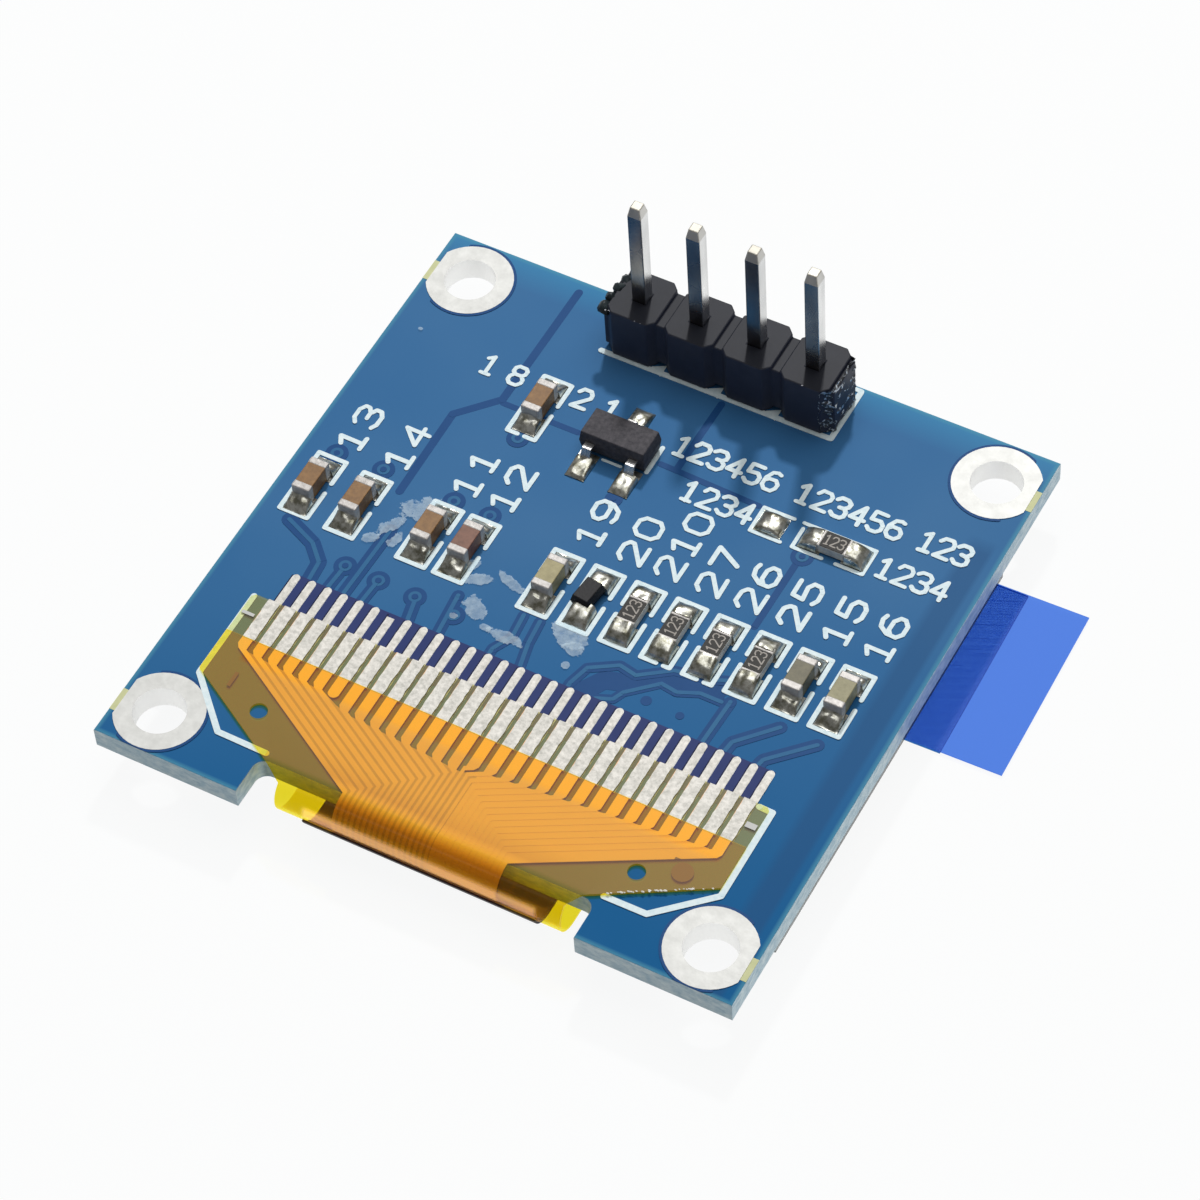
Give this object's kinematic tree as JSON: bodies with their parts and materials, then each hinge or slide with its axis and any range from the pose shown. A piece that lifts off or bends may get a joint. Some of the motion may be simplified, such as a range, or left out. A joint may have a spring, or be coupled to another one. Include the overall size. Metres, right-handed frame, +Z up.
{
  "type": "small oled display module",
  "caption": "Square blue circuit board with a glass display on one face, small parts, a row of header pins, corner mounting holes and an amber flex tail folded round one edge.",
  "frame": {"origin": "on the resting plane, under the centre of the circuit board's outline", "axes": "+X along the pin header, +Y from the flex notch to the header, +Z up through the board's component face"},
  "size_m": [0.0306, 0.0276, 0.0108],
  "materials": {
    "board": "blue solder mask on glass-fibre board",
    "tin": "satin tin plating on copper",
    "solder": "bright solder",
    "pin": "plated square pin",
    "header_plastic": "glossy black moulding",
    "ceramic": "brown to olive ceramic",
    "white_ceramic": "white ceramic",
    "black_glaze": "black glaze",
    "black_resin": "moulded resin",
    "amber_film": "amber polyimide film",
    "copper": "copper, tinned at the free ends",
    "dark_tape": "dark tape",
    "display_glass": "polished, with cut edges",
    "dark_film": "near-black film",
    "white_sheet": "matte white",
    "silicon": "bare silicon",
    "bond_film": "conductive bonding film",
    "blue_film": "clear blue protective film",
    "blue_tab": "blue adhesive tape"
  },
  "bodies": {
    "root": {"circuit_board": "board", "mounting_hole_plating": "tin", "header_hole_plating": "tin", "chip_lands": "tin", "finger_pads": "tin", "header_housing": "header_plastic", "header_pin_1": "pin", "header_pin_2": "pin", "header_pin_3": "pin", "header_pin_4": "pin", "header_solder": "solder", "capacitor_1_body": "ceramic", "capacitor_1_ends": "tin", "capacitor_2_body": "ceramic", "capacitor_2_ends": "tin", "capacitor_3_body": "ceramic", "capacitor_3_ends": "tin", "capacitor_4_body": "ceramic", "capacitor_4_ends": "tin", "capacitor_5_body": "ceramic", "capacitor_5_ends": "tin", "capacitor_6_body": "ceramic", "capacitor_6_ends": "tin", "capacitor_7_body": "ceramic", "capacitor_7_ends": "tin", "capacitor_8_body": "ceramic", "capacitor_8_ends": "tin", "resistor_1_body": "white_ceramic", "resistor_1_ends": "tin", "resistor_2_body": "white_ceramic", "resistor_2_ends": "tin", "resistor_3_body": "white_ceramic", "resistor_3_ends": "tin", "resistor_4_body": "white_ceramic", "resistor_4_ends": "tin", "resistor_5_body": "white_ceramic", "resistor_5_ends": "tin", "resistor_glazes": "black_glaze", "diode_body": "black_resin", "diode_leads": "tin", "regulator_body": "black_resin", "regulator_leads": "tin", "chip_solder": "solder", "flex_film": "amber_film", "flex_traces": "copper", "flex_cover": "amber_film", "fold_tape": "dark_tape", "display_glass": "display_glass", "cap_glass": "display_glass", "polarizer": "dark_film", "pixel_layer": "dark_film", "drying_sheet": "white_sheet", "driver_chip": "silicon", "bond_films": "bond_film", "mounting_tape": "white_sheet", "protective_film": "blue_film", "pull_tab": "blue_tab"}
  },
  "joints": []
}
